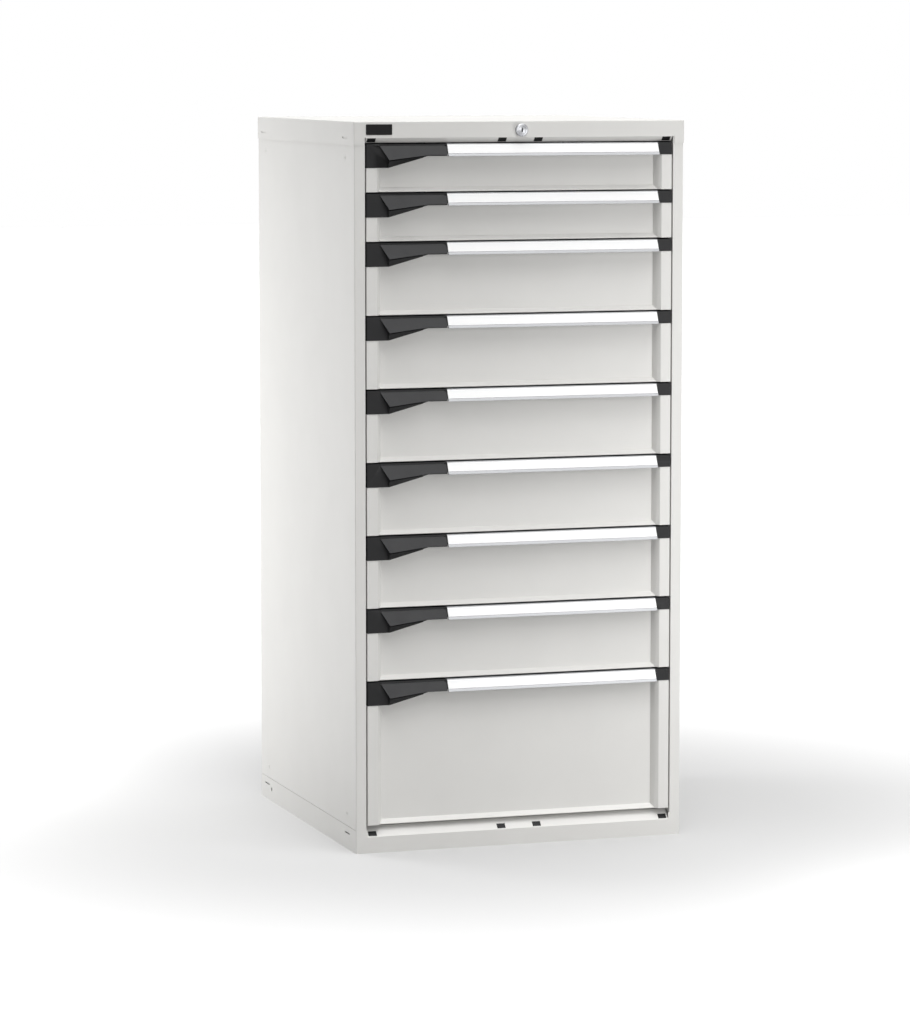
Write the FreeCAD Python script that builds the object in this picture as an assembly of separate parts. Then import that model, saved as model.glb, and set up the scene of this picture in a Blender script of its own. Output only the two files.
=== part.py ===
import FreeCAD, Part
import math
import os
from FreeCAD import Vector

# Steel cabinet with nine full-width drawers, millimetres.
# Every piece is drawn with the front of the posts at y = 0, x = 0 in the middle and the floor at z = 0.
# The last step moves it all back to front so that the origin lies under the middle of the whole cabinet.

# Casing
casing_width = 712.0
casing_depth = 725.0
sheet = 1.2
paint_gap = 0.2
overrun = 5.0
fold_radius = 2.0

# Drawer fronts, from the bottom to the top, and the field that they fill
tall_front = 300.0
middle_front = 150.0
low_front = 100.0
middle_count = 6
low_count = 2
field_bottom = 57.5
field_to_top = 42.5
front_gap = 3.0
side_gap = 3.1

# Side panels and their front posts
post_width = 22.4
post_return = 25.0
rear_flange = 20.0
side_seam = 0.8
side_screw_inset = 64.0
side_screw_rise = 73.5
side_screw_radius = 7.0
side_screw_shank = 4.0
side_screw_length = 9.0
side_screw_socket = 3.0
screw_ring = 0.2

# Lid
lid_height = 47.5
lid_proud = 1.4
lid_face_height = 33.0
lid_lip_drop = 10.0
lid_lip_return = 12.0
lid_notch_width = 5.0
lid_notch_inset = 20.0

# Base
base_sheet = 2.0
base_height = 47.5
sill_face_height = 33.5
sill_lip = 20.0
base_flange = 25.0
pan_edge = 15.0
tie_hole_radius = 4.5
tie_hole_rear_inset = 82.0
tie_hole_rise = 25.0
anchor_hole_radius = 5.5
anchor_hole_side_inset = 14.0
anchor_hole_end_inset = 60.0

# Slots in the lid skirts and the base band
slot_length = 34.0
slot_height = 3.0
slot_front_inset = 62.0
slot_rear_inset = 48.0
slot_rise = 33.0

# Sockets for optional doors, in the lid lip and the sill lip
socket_width = 18.0
socket_length = 12.0
socket_inner_place = 39.0
socket_outer_inset = 12.0
socket_gap = 0.15
plug_depth = 3.0
plug_sink = 0.4

# Back panel
swage_width = 90.0
swage_slope = 6.0
swage_inset = 166.0

# Uprights behind the side panels
upright_width = 50.0
upright_thickness = 19.0
upright_sheet = 1.5
upright_pitch = 50.0
upright_slot_width = 12.0
upright_slot_height = 8.0

# Runners: a rail on the uprights, a carriage with rollers and a channel on the drawer
channel_height = 32.0
channel_sheet = 1.5
channel_flange = 13.0
rail_start = 30.0
rail_rear_gap = 35.0
rail_hook_gap = 1.0
rail_hook_depth = 3.4
runner_rise = 14.0
roller_thickness = 9.0
roller_gap = 0.3
roller_side_gap = 0.5
axle_radius = 4.0
axle_gap = 0.05
axle_head = 1.0
carriage_sheet = 2.0
carriage_side_gap = 0.6
carriage_height = 24.0
channel_side_gap = 1.0
carriage_start = 40.0
carriage_rear_gap = 40.0
roller_end_inset = 20.0
drawer_roller_spacing = 255.0
rail_roller_spacing = 230.0

# Drawer front
strip_width = 22.0
strip_return = 14.0
outer_facet = 7.0
inner_facet_width = 5.4
inner_facet_depth = 10.7
lip_height = 7.9
lip_edge = 1.5
front_top_flange = 12.0

# Drawer tray
tray_sheet = 1.0
tray_rear_gap = 85.0
tray_floor = 8.0
tray_top_gap = 22.0
tray_hem = 5.0
channel_setback = 4.0

# Handle bar: a tilted face with a label groove, a bottom lip and a top flange
bar_height = 25.0
bar_reach = 12.0
bar_wall = 2.0
bar_flange = 29.0
label_sink = 0.8
label_start = 1.5
label_width = 20.5
bar_lip = 6.0

# Left grip with its release pad, and the right cap
grip_width = 171.5
cap_width = 31.0
grip_height = 48.0
grip_stand = 1.0
grip_back = 8.0
grip_plug_back = 15.5
grip_level_drop = 24.5
grip_knee_run = 46.0
grip_slope_run = 84.0
grip_end_gap = 0.2
cap_stand = 0.8
pad_inset = 28.0
pad_foot_inset = 44.5
pad_top_drop = 3.5
rim_height = 3.0
rim_bevel = 2.5
bevel_sink = 1.6
pad_foot_drop = 32.5
pad_level_drop = 22.5
pad_thickness = 5.0
pad_gap = 0.5
pad_corner = 5.0
bevel_stand = 3.0
pad_turn_degrees = 6.0
pad_mouth_lead = 12.0
pad_end_gap = 2.5
pivot_drop = 7.0
pivot_depth = 4.0
pivot_radius = 2.5
pin_radius = 1.5
pin_gap = 0.05
pin_reach = 2.0
barrel_inset = 6.0

# Latch arm on the pad and its lug on the left post
latch_inset = 3.5
latch_width = 6.0
latch_arm_drop = 9.0
latch_arm_height = 4.0
latch_finger = 3.0
latch_hook = 3.0
latch_side_gap = 0.5
lug_gap = 0.3
lug_side_gap = 5.0
lug_sheet = 2.0
lug_height = 10.0

# Lock in the middle of the lid, its shaft and the rear lock bar
lock_drop = 18.5
lock_collar_radius = 13.0
lock_collar_length = 7.6
lock_collar_edge = 1.2
lock_barrel_radius = 10.5
lock_barrel_end = 28.0
lock_hole_gap = 0.2
lock_nut_width = 27.0
lock_nut_thickness = 5.0
plug_radius = 8.0
plug_gap = 0.05
plug_recess = 0.6
plug_end = 34.0
keyway_width = 2.4
keyway_height = 9.0
keyway_depth = 20.0
shaft_radius = 5.0
shaft_gap = 0.05
crank_radius = 10.0
crank_start_degrees = 45.0
crank_gap = 4.0
crank_thickness = 4.0
crank_boss = 7.0
crank_eye = 5.0
crank_pin_radius = 3.0
crank_pin_length = 12.0
crank_pin_gap = 0.4
bar_strip_width = 20.0
bar_strip_thickness = 3.0
bar_strip_gap = 6.0
bar_strip_head = 8.0
bar_strip_foot = 70.0
tab_rise = 60.0
tab_reach = 16.0
tab_width = 6.0
tab_lip = 16.0
tab_sheet = 1.5
tab_side_gap = 1.5
tooth_reach = 8.0
tooth_height = 12.0
tooth_drop = 2.0
guide_wall = 3.0
guide_gap = 0.3
guide_height = 20.0
guide_rise = 82.0
hanger_gap = 20.0
hanger_thickness = 3.0
hanger_half_width = 14.0
hanger_drop = 12.0
hanger_foot = 12.0

# Badge on the lid, bare
badge_width = 55.5
badge_height = 21.5
badge_thickness = 1.0
badge_inset = 24.3
badge_drop = 16.3
badge_corner = 2.0

# Values worked out from the sizes above
drawer_heights = [tall_front] + [middle_front] * middle_count + [low_front] * low_count
drawer_count = len(drawer_heights)
casing_height = field_bottom + sum(drawer_heights) + field_to_top
half_width = casing_width / 2
drawer_half = half_width - post_width - side_gap
strip_inner = drawer_half - strip_width
facet_inner = strip_inner - outer_facet
panel_half = facet_inner - inner_facet_width
panel_depth = outer_facet + inner_facet_depth
tray_front = panel_depth + sheet
tray_back = casing_depth - tray_rear_gap
bar_left = grip_width - drawer_half
bar_right = drawer_half - cap_width
face_slope = bar_reach / bar_height
handle_reach = face_slope * pad_foot_drop
front_shift = (handle_reach - casing_depth - lid_proud) / 2
floor_top = sill_face_height + sill_lip
lid_underside = casing_height - sheet
roller_radius = channel_height / 2 - channel_sheet - roller_gap
rail_web = half_width - sheet - paint_gap - upright_thickness - paint_gap
rail_mouth = rail_web - channel_flange
carriage_outer = rail_mouth - carriage_side_gap
carriage_inner = carriage_outer - carriage_sheet
carriage_end = tray_back - carriage_rear_gap
tray_half = carriage_inner - channel_side_gap - channel_flange
rail_end = casing_depth - rail_rear_gap
lock_rise = casing_height - lock_drop
bar_strip_place = tray_back + bar_strip_gap
crank_place = bar_strip_place - crank_gap - crank_thickness
hanger_place = crank_place - hanger_gap - hanger_thickness
crank_angle = math.radians(crank_start_degrees)
lock_lift = 2 * crank_radius * math.sin(crank_angle)
lock_pin_out = crank_radius * math.cos(crank_angle)
pin_swing = crank_radius - lock_pin_out
bar_strip_middle = -(crank_radius + lock_pin_out) / 2
bar_strip_edge = bar_strip_middle + bar_strip_width / 2


# Drawing helpers
def box(x0, x1, y0, y1, z0, z1):
    """A block between two x, two y and two z values."""
    return Part.makeBox(x1 - x0, y1 - y0, z1 - z0, Vector(x0, y0, z0))


def rod(radius, start, end):
    """A round rod from one point to another."""
    line = end.sub(start)
    return Part.makeCylinder(radius, line.Length, start, line)


def prism(points, along):
    """A prism on a flat outline of points, drawn out along a vector."""
    return Part.Face(Part.makePolygon(points + points[:1])).extrude(along)


def prism_x(outline, x0, x1):
    """An outline of (y, z) points drawn out along x."""
    return prism([Vector(x0, y, z) for y, z in outline], Vector(x1 - x0, 0, 0))


def prism_y(outline, y0, y1):
    """An outline of (x, z) points drawn out along y."""
    return prism([Vector(x, y0, z) for x, z in outline], Vector(0, y1 - y0, 0))


def prism_z(outline, z0, z1):
    """An outline of (x, y) points drawn out along z."""
    return prism([Vector(x, y, z0) for x, y in outline], Vector(0, 0, z1 - z0))


def joined(*shapes):
    """One shape fused from several, with no seams left in flat faces."""
    return shapes[0].multiFuse(list(shapes[1:])).removeSplitter()


def both_sides(shape):
    """The shape and its mirror image across x = 0, as separate solids."""
    return [shape, mirrored(shape)]


def mirrored(shape):
    """The shape's mirror image across x = 0."""
    return shape.mirror(Vector(0, 0, 0), Vector(1, 0, 0))


def folded(points, thickness):
    """The closed outline of a sheet whose near face follows the points, with the metal on their left."""
    sides = []
    for (x0, y0), (x1, y1) in zip(points, points[1:]):
        length = math.hypot(x1 - x0, y1 - y0)
        sides.append(((y0 - y1) / length, (x1 - x0) / length))
    inner = []
    for i, (x, y) in enumerate(points):
        before = sides[max(i - 1, 0)]
        after = sides[min(i, len(sides) - 1)]
        across = 1 + before[0] * after[0] + before[1] * after[1]
        dx = thickness * (before[0] + after[0]) / across
        dy = thickness * (before[1] + after[1]) / across
        inner.append((x + dx, y + dy))
    return points + inner[::-1]


def upright_edges(shape, x, y):
    """The edges along z that stand at one x and y."""
    return [e for e in shape.Edges if stands_at(e, x, y)]


def stands_at(edge, x, y):
    """Whether both ends of an edge lie at one x and y."""
    near = paint_gap / 2
    return all(abs(v.X - x) < near and abs(v.Y - y) < near for v in edge.Vertexes)


def spaced(count, pitch):
    """Places at an even pitch, from zero up."""
    return [pitch * i for i in range(count)]


def drawer_bottoms():
    """The height of each drawer's bottom edge, from the lowest drawer up."""
    heights = [field_bottom]
    for height in drawer_heights[:-1]:
        heights.append(heights[-1] + height)
    return heights


def side_places():
    """The y and z of each side screw: near the front and the rear, low and high."""
    rear = side_screw_inset + upright_spacing()
    return [(y, z) for y in (side_screw_inset, rear) for z in (side_screw_rise,
                                                               casing_height - side_screw_rise)]


def upright_spacing():
    """The distance from the front uprights to the rear ones, a whole number of rail hook pitches."""
    room = rail_end - rail_start - upright_width
    return upright_pitch * math.floor(room / upright_pitch)


# Casing pieces
def side_panel():
    """A left side panel: one sheet folded into a wall, a front post with its return and a rear flange."""
    left = -half_width
    outline = [
        (left + rear_flange, casing_depth),
        (left, casing_depth),
        (left, 0),
        (left + post_width, 0),
        (left + post_width, post_return),
    ]
    top = lid_underside - paint_gap
    panel = prism_z(folded(outline, sheet), base_height, top)
    panel = panel.makeFillet(fold_radius,
                             upright_edges(panel, left, 0) + upright_edges(panel, left, casing_depth))
    seam = box(left, left + sheet, fold_radius, casing_depth - fold_radius, base_height,
               base_height + side_seam)
    cuts = [seam]
    for y, z in side_places():
        cuts.append(rod(side_screw_radius + screw_ring, Vector(left - sheet, y, z),
                        Vector(left + 2 * sheet, y, z)))
    return panel.cut(Part.makeCompound(cuts))


def latch_lug(top):
    """The lug behind the left post that one drawer's latch finger drops behind."""
    left = post_width - half_width
    right = -drawer_half + latch_inset + lug_side_gap
    back = post_return - latch_finger - lug_sheet
    high = top - pivot_drop - latch_arm_drop - lug_gap
    return box(left, right, back, back + lug_sheet, high - lug_height, high)


def left_side_panel():
    """The left side panel with a latch lug for each drawer, welded on the post's return."""
    tops = [bottom + height - front_gap for bottom, height in zip(drawer_bottoms(), drawer_heights)]
    return Part.makeCompound([side_panel()] + [latch_lug(top) for top in tops])


def back_panel():
    """The back: one sheet with two vertical swages, lying inside the rear flanges."""
    y = casing_depth - sheet - paint_gap
    deep = y - swage_slope
    edge = half_width - sheet - paint_gap
    place = half_width - swage_inset
    near = place - swage_width / 2
    far = place + swage_width / 2
    rib = [(near, y), (near + swage_slope, deep), (far - swage_slope, deep), (far, y)]
    outline = [(edge, y)] + [(x, v) for x, v in rib[::-1]] + [(-x, v) for x, v in rib] + [(-edge, y)]
    return prism_z(folded(outline, sheet), floor_top + paint_gap, lid_underside - paint_gap)


def lid_front_profile():
    """The folded front of the lid from its face down round the lip, as (y, z) points."""
    fold = casing_height - lid_face_height
    low = fold - lid_lip_drop
    tip = lid_lip_drop - lid_proud
    return [(-lid_proud, casing_height - fold_radius), (-lid_proud, fold), (tip, low),
            (tip, low + lid_lip_return)]


def lip_place():
    """Half the width of the lips between the posts."""
    return half_width - lid_notch_inset - lid_notch_width


def top_cover():
    """The lid: a cap over the casing, with a face and a lip between the posts."""
    outer = half_width + lid_proud
    low = casing_height - lid_height
    rear = casing_depth + lid_proud
    cap = box(-outer, outer, -lid_proud, rear, low, casing_height)
    cap = cap.makeFillet(fold_radius, [e for e in cap.Edges if max(v.Z for v in e.Vertexes) > low])
    wall = outer - sheet
    inside = box(-wall, wall, sheet - lid_proud, rear - sheet, low - overrun, lid_underside)
    half_lip = lip_place()
    mouth = box(-half_lip - lid_notch_width, half_lip + lid_notch_width, -lid_proud - overrun, sheet,
                low - overrun,
                casing_height - lid_face_height)
    lip = prism_x(folded(lid_front_profile()[1:], sheet), -half_lip, half_lip)
    cap = joined(cap.cut(inside).cut(mouth), lip)
    cuts = [rod(lock_barrel_radius + lock_hole_gap, Vector(0, -lock_collar_radius, lock_rise),
                Vector(0, sheet, lock_rise))]
    cuts += sockets(lid_socket)
    cuts += skirt_slots(casing_height - slot_rise, outer)
    return cap.cut(Part.makeCompound(cuts))


def skirt_slots(z, outer):
    """Cutters for the long slots near the corners of both sides, at one height."""
    cuts = []
    for y in (slot_front_inset, casing_depth - slot_rear_inset):
        low = z - slot_height / 2
        slot = box(-outer - overrun, -outer + base_sheet + paint_gap, y - slot_length / 2,
                   y + slot_length / 2,
                   low, low + slot_height)
        cuts += both_sides(slot)
    return cuts


def lid_socket(x, grow, near, far):
    """A block through the lid's lip at x, grown by a gap, from near to far along its inward normal."""
    middle = lid_lip_drop / 2
    place = Vector(x, middle - lid_proud, casing_height - lid_face_height - middle)
    return lip_block(place, Vector(0, 1, -1), Vector(0, 1, 1), grow, near, far)


def sill_socket(x, grow, near, far):
    """A block through the sill's lip at x, grown by a gap, from near to far along its inward normal."""
    middle = socket_length / 2
    place = Vector(x, middle, sill_face_height + middle)
    return lip_block(place, Vector(0, 1, 1), Vector(0, 1, -1), grow, near, far)


def lip_block(place, along, inward, grow, near, far):
    """A rectangular block on a sloping lip: along runs up or down the slope, inward into the sheet."""
    along.normalize()
    inward.normalize()
    half_x = socket_width / 2 + grow
    half_s = socket_length / 2 + grow
    start = place + inward * near
    corners = [Vector(x, 0, 0) + along * s for x, s in
               ((-half_x, -half_s), (half_x, -half_s), (half_x, half_s), (-half_x, half_s))]
    return prism([start + c for c in corners], inward * (far - near))


def sockets(make_block):
    """Cutters for the four sockets of one lip."""
    return [make_block(x, socket_gap, -sheet, 2 * base_sheet) for x in socket_places()]


def socket_places():
    """The x of each socket."""
    outer = lip_place() - socket_outer_inset
    return (-outer, -socket_inner_place, socket_inner_place, outer)


def socket_plugs():
    """Eight plastic plugs that close the sockets, a little below the sheet."""
    plugs = []
    for make_block in (lid_socket, sill_socket):
        plugs += [make_block(x, 0, plug_sink, plug_depth) for x in socket_places()]
    return Part.makeCompound(plugs)


def base_frame():
    """The welded base: a band with inward feet and a sill with its lip, and the floor pan."""
    outer = half_width
    band = box(-outer, outer, 0, casing_depth, 0, base_height)
    band = band.makeFillet(fold_radius, corner_edges(band))
    wall = outer - base_sheet
    inside = box(-wall, wall, base_sheet, casing_depth - base_sheet, base_sheet, base_height + overrun)
    foot = outer - base_flange
    well = box(-foot, foot, base_flange, casing_depth - base_flange, -overrun, base_sheet + overrun)
    half_lip = lip_place()
    mouth = box(-half_lip, half_lip, -overrun, base_sheet + overrun, sill_face_height,
                base_height + overrun)
    seam = post_return + paint_gap
    profile = [(seam, floor_top), (sill_lip, floor_top), (0, sill_face_height),
               (0, sill_face_height - base_sheet)]
    sill = prism_x(folded(profile, base_sheet), -half_lip, half_lip)
    frame = joined(band.cut(inside).cut(well).cut(mouth), sill)
    cuts = sockets(sill_socket) + skirt_slots(slot_rise, outer)
    place = Vector(-outer - overrun, casing_depth - tie_hole_rear_inset, tie_hole_rise)
    cuts += both_sides(rod(tie_hole_radius, place, place + Vector(3 * overrun, 0, 0)))
    for y in (anchor_hole_end_inset, casing_depth - anchor_hole_end_inset):
        place = Vector(anchor_hole_side_inset - outer, y, -overrun)
        cuts += both_sides(rod(anchor_hole_radius, place, place + Vector(0, 0, 2 * overrun)))
    return Part.makeCompound([frame.cut(Part.makeCompound(cuts)), floor_pan()])


def floor_pan():
    """The floor of the casing, a flat pan with its edges turned down, welded into the base's band."""
    wall = half_width - base_sheet
    rear = casing_depth - base_sheet
    front = post_return + paint_gap
    pan = box(-wall, wall, front, rear, floor_top - pan_edge, floor_top)
    hollow = box(-wall + base_sheet, wall - base_sheet, front + base_sheet, rear - base_sheet,
                 floor_top - pan_edge - overrun, floor_top - base_sheet)
    return pan.cut(hollow)


def corner_edges(shape):
    """The four outer upright edges of a block with the casing's own width and depth."""
    return [e for x in (-half_width, half_width) for y in (0, casing_depth) for e in upright_edges(shape,
                                                                                                   x, y)]


def upright(y):
    """One left upright: a closed section with hook slots in its inner face."""
    outer = -half_width + sheet + paint_gap
    inner = outer + upright_thickness
    near = y - upright_width / 2
    far = y + upright_width / 2
    top = casing_height - lid_height
    tube = box(outer, inner, near, far, floor_top, top)
    tube = tube.cut(box(outer + upright_sheet, inner - upright_sheet, near + upright_sheet,
                        far - upright_sheet,
                        floor_top - overrun, top + overrun))
    cuts = []
    count = int((top - field_bottom - runner_middle()) / upright_pitch) + 1
    for rise in spaced(count, upright_pitch):
        low = field_bottom + runner_middle() + rise - upright_slot_height / 2
        cuts.append(box(inner - 2 * upright_sheet, inner + upright_sheet, y - upright_slot_width / 2,
                        y + upright_slot_width / 2, low, low + upright_slot_height))
    for z in (side_screw_rise, casing_height - side_screw_rise):
        hole = side_screw_shank + screw_ring
        cuts.append(rod(hole, Vector(outer - sheet, y, z), Vector(outer + 2 * upright_sheet, y, z)))
    return tube.cut(Part.makeCompound(cuts))


def runner_middle():
    """The height of a runner's middle above its drawer's bottom edge."""
    return runner_rise + channel_height / 2


def uprights():
    """Four perforated uprights, two behind each side panel."""
    left = [upright(side_screw_inset), upright(side_screw_inset + upright_spacing())]
    return Part.makeCompound(left + [mirrored(u) for u in left])


def side_screws():
    """Eight flush socket screws that hold the side panels to the uprights."""
    screws = []
    for y, z in side_places():
        face = Vector(-half_width, y, z)
        head = rod(side_screw_radius, face, face + Vector(sheet, 0, 0))
        shank = rod(side_screw_shank, face, face + Vector(side_screw_length, 0, 0))
        socket = rod(side_screw_socket, face - Vector(sheet, 0, 0),
                     face + Vector(sheet + paint_gap, 0, 0))
        screws += both_sides(joined(head, shank).cut(socket))
    return Part.makeCompound(screws)


# Runners
def channel(web, mouth, y0, y1, z0):
    """A rolled channel with its web at one x and its mouth at another, from y0 to y1, standing at z0."""
    side = 1 if mouth > web else -1
    z1 = z0 + channel_height
    inner = web + side * channel_sheet
    block = box(min(web, mouth), max(web, mouth), y0, y1, z0, z1)
    beyond = mouth + side * overrun
    groove = box(min(inner, beyond), max(inner, beyond), y0 - overrun, y1 + overrun, z0 + channel_sheet,
                 z1 - channel_sheet)
    return block.cut(groove)


def cabinet_rail(bottom):
    """The left fixed rail of the drawer that stands at bottom, with its rear stop and its two hooks."""
    low = bottom + runner_rise
    web = -rail_web
    mouth = -rail_mouth
    rail = channel(web, mouth, rail_start, rail_end, low)
    stop = box(web, mouth, rail_end - channel_sheet, rail_end, low, low + channel_height)
    middle = bottom + runner_middle()
    hooks = []
    for y in (side_screw_inset, side_screw_inset + upright_spacing()):
        half_y = upright_slot_width / 2 - rail_hook_gap
        half_z = upright_slot_height / 2 - rail_hook_gap
        hooks.append(box(web - rail_hook_depth, web + channel_sheet, y - half_y, y + half_y,
                         middle - half_z, middle + half_z))
    return joined(rail, stop, *hooks)


def cabinet_rails():
    """The fixed rails of all drawers, left and right."""
    return Part.makeCompound([s for bottom in drawer_bottoms() for s in both_sides(cabinet_rail(bottom))])


def roller(x0, x1, y, z):
    """One roller between two x values, bored to run on its axle."""
    wheel = rod(roller_radius, Vector(x0, y, z), Vector(x1, y, z))
    return wheel.cut(rod(axle_radius + axle_gap, Vector(x0 - overrun, y, z), Vector(x1 + overrun, y, z)))


def carriage(bottom):
    """The left carriage: a flat bar with two rollers in the rail and two in the drawer's channel."""
    z = bottom + runner_middle()
    outer = -carriage_outer
    inner = -carriage_inner
    half = carriage_height / 2
    plate = box(outer, inner, carriage_start, carriage_end, z - half, z + half)
    first = carriage_start + roller_end_inset
    last = carriage_end - roller_end_inset
    axles = []
    rollers = []
    for y in (last - rail_roller_spacing, last):
        near = outer - roller_side_gap
        far = near - roller_thickness
        rollers.append(roller(far, near, y, z))
        axles.append(rod(axle_radius, Vector(far - axle_head, y, z), Vector(outer, y, z)))
    for y in (first, first + drawer_roller_spacing):
        near = inner + roller_side_gap
        far = near + roller_thickness
        rollers.append(roller(near, far, y, z))
        axles.append(rod(axle_radius, Vector(inner, y, z), Vector(far + axle_head, y, z)))
    return [joined(plate, *axles)] + rollers


def drawer_carriages(bottom):
    """Both carriages of one drawer."""
    left = carriage(bottom)
    return Part.makeCompound(left + [mirrored(s) for s in left])


# Drawer
def drawer_front(bottom, height):
    """The pressed front: strips beside the posts, sloping facets and a sunk panel with a lip at its foot."""
    top = bottom + height - front_gap
    skin_top = top - bar_wall
    left = [(-drawer_half, strip_return), (-drawer_half, 0), (-strip_inner, 0),
            (-facet_inner, outer_facet),
            (-panel_half, panel_depth)]
    outline = left + [(-x, y) for x, y in left[::-1]]
    skin = prism_z(folded(outline, sheet), bottom, skin_top)
    flange = box(-panel_half, panel_half, panel_depth, panel_depth + front_top_flange, skin_top - sheet,
                 skin_top)
    lip_top = bottom + lip_edge + lip_height
    lip_line = [(outer_facet, bottom), (outer_facet, bottom + lip_edge), (panel_depth, lip_top)]
    lip = prism_x(folded(lip_line[::-1], sheet), -facet_inner, facet_inner)
    side = [(-facet_inner, outer_facet), (-panel_half, panel_depth)]
    reach = panel_depth + overrun
    keep = side + [(-panel_half, reach), (panel_half, reach)] + [(-x, y) for x, y in side[::-1]]
    lip = lip.common(prism_z(keep, bottom - overrun, lip_top + overrun))
    under = box(-panel_half, panel_half, panel_depth, panel_depth + 2 * sheet, bottom - overrun,
                lip_top - sheet)
    relief = (grip_back - outer_facet + paint_gap) * inner_facet_width / inner_facet_depth
    grip_cut = box(-drawer_half - overrun, relief - facet_inner, -overrun, strip_return + overrun,
                   top - grip_height, top + overrun)
    cap_cut = box(facet_inner - relief, drawer_half + overrun, -overrun, strip_return + overrun,
                  top - bar_height, top + overrun)
    return joined(skin.cut(under), lip, flange).cut(Part.makeCompound([grip_cut, cap_cut]))


def drawer_tray(bottom, height):
    """The folded tray behind the front, with inward hems."""
    low = bottom + tray_floor
    high = bottom + height - front_gap - tray_top_gap
    half = tray_half
    inner = half - tray_sheet
    shell = box(-half, half, tray_front, tray_back, low, high)
    cavity = box(-inner, inner, tray_front + tray_sheet, tray_back - tray_sheet, low + tray_sheet,
                 high + overrun)
    side_hem = box(-half, -inner + tray_hem, tray_front, tray_back, high - tray_sheet, high)
    rear_hem = box(-half, half, tray_back - tray_sheet - tray_hem, tray_back, high - tray_sheet, high)
    return joined(shell.cut(cavity), *both_sides(side_hem), rear_hem)


def lock_tab(bottom):
    """The lock tab welded on the tray's back: a plate over the lock bar's tooth, and a lip behind the tooth."""
    top = bottom + tab_rise
    left = bar_strip_edge + tab_side_gap
    back = tray_back + tab_reach
    plate = box(left, left + tab_width, tray_back, back, top - tab_sheet, top)
    lip = box(left, left + tab_width, back - tab_sheet, back, top - tab_lip, top - tab_sheet)
    return [plate, lip]


def drawer_channel(bottom):
    """The left runner channel on the drawer's side."""
    start = tray_front + channel_setback
    mouth = -tray_half - channel_flange
    return channel(-tray_half, mouth, start, tray_back - channel_setback, bottom + runner_rise)


def drawer_box(bottom, height):
    """The welded drawer: front, tray and both runner channels."""
    pieces = [drawer_front(bottom, height), drawer_tray(bottom, height)]
    return Part.makeCompound(pieces + both_sides(drawer_channel(bottom)) + lock_tab(bottom))


def on_face(run, depth):
    """A point of the bar's section: run down the tilted face from its top edge, and depth behind it."""
    length = math.hypot(bar_reach, bar_height)
    along = (-bar_reach / length, -bar_height / length)
    back = (bar_height / length, -bar_reach / length)
    return (run * along[0] + depth * back[0], run * along[1] + depth * back[1])


def behind_face(depth, z):
    """A point at the height z on the plane that lies at a depth behind the tilted face."""
    return (depth * math.hypot(bar_reach, bar_height) / bar_height + face_slope * z, z)


def handle_bar(bottom, height):
    """The extruded bar: a top flange over the front, a tilted face with a label groove, and a lip below."""
    top = bottom + height - front_gap
    wall = bar_wall + label_sink
    groove_end = label_start + label_width
    lip_back = bar_lip - bar_reach
    outline = [
        (bar_flange, 0), (0, 0),
        on_face(label_start, 0), on_face(label_start, label_sink),
        on_face(groove_end, label_sink), on_face(groove_end, 0),
        (-bar_reach, -bar_height), (lip_back, -bar_height), (lip_back, bar_wall - bar_height),
        behind_face(wall, bar_wall - bar_height), behind_face(wall, -bar_wall), (bar_flange, -bar_wall),
    ]
    return prism_x([(y, top + z) for y, z in outline], bar_left, bar_right)


def tilted(outline, top, behind, front, back):
    """A prism on an (x, z) outline, from the tilted face plane set back by behind to the y value back."""
    block = prism_y([(x, top + z) for x, z in outline], -front, back)
    drop = grip_height + overrun
    near = -front - overrun
    plane = [(near, overrun), (behind + face_slope * overrun, overrun),
             (behind - face_slope * drop, -drop), (near, -drop)]
    return block.cut(prism_x([(y, top + z) for y, z in plane], -drawer_half - overrun, 0))


def pad_outline(grow):
    """The front outline of the release pad as (x, z) from the bar's top edge, grown outwards by a gap."""
    left = -drawer_half
    right = bar_left - pad_end_gap
    slope_end = left + grip_knee_run + grip_slope_run
    return [
        (left + pad_inset - grow, grow - pad_top_drop),
        (right + grow, grow - pad_top_drop),
        (right + grow, -pad_level_drop - grow),
        (slope_end, -pad_level_drop - grow),
        (left + pad_foot_inset - grow, -pad_foot_drop - grow),
    ]


def pivot_point(top, x):
    """The point of the pad's pivot axis at one x."""
    return Vector(x, pivot_depth, top - pivot_drop)


def turned(shape, top, degrees):
    """The shape turned about the pad's pivot, as the pad turns when it is pressed."""
    copy = shape.copy()
    copy.rotate(pivot_point(top, 0), Vector(1, 0, 0), degrees)
    return copy


def pad_plate(top, grow):
    """The pad's plate behind the tilted face, grown all round by a gap."""
    outline = pad_outline(grow)
    back = grip_back + overrun
    plate = tilted(outline, top, -grow, handle_reach + overrun, back)
    return plate.cut(tilted(outline, top, pad_thickness + grow, handle_reach + overrun, back + overrun))


def pad_room(top):
    """The room that the pad needs in its pocket from rest to fully pressed."""
    steps = int(pad_turn_degrees) + 1
    room = [turned(pad_plate(top, pad_gap), top,
                   pad_turn_degrees * i / (steps - 1)) for i in range(steps)]
    barrel = rod(pivot_radius + pad_gap, pivot_point(top, latch_left() - latch_side_gap),
                 pivot_point(top, bar_left - pad_end_gap + pad_gap))
    pins = rod(pin_radius + pin_gap, pivot_point(top, latch_left() - pin_reach), pivot_point(top, 0))
    slot = box(latch_left() - latch_side_gap, latch_left() + latch_width + latch_side_gap, pivot_depth,
               grip_plug_back + overrun, top - pivot_drop - latch_arm_drop, top - pivot_drop + pad_gap)
    slope_end = grip_knee_run + grip_slope_run - drawer_half
    swing = pad_level_drop * math.sin(math.radians(pad_turn_degrees))
    back = pad_thickness + pad_gap + swing - face_slope * pad_level_drop
    mouth = box(slope_end - pad_mouth_lead, bar_left - pad_end_gap + pad_gap, -handle_reach - overrun,
                back,
                top - grip_height, top - pad_level_drop)
    return room + [barrel, pins, slot, mouth]


def latch_left():
    """The left end of the latch arm and of the pad's barrel."""
    return latch_inset - drawer_half


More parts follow.
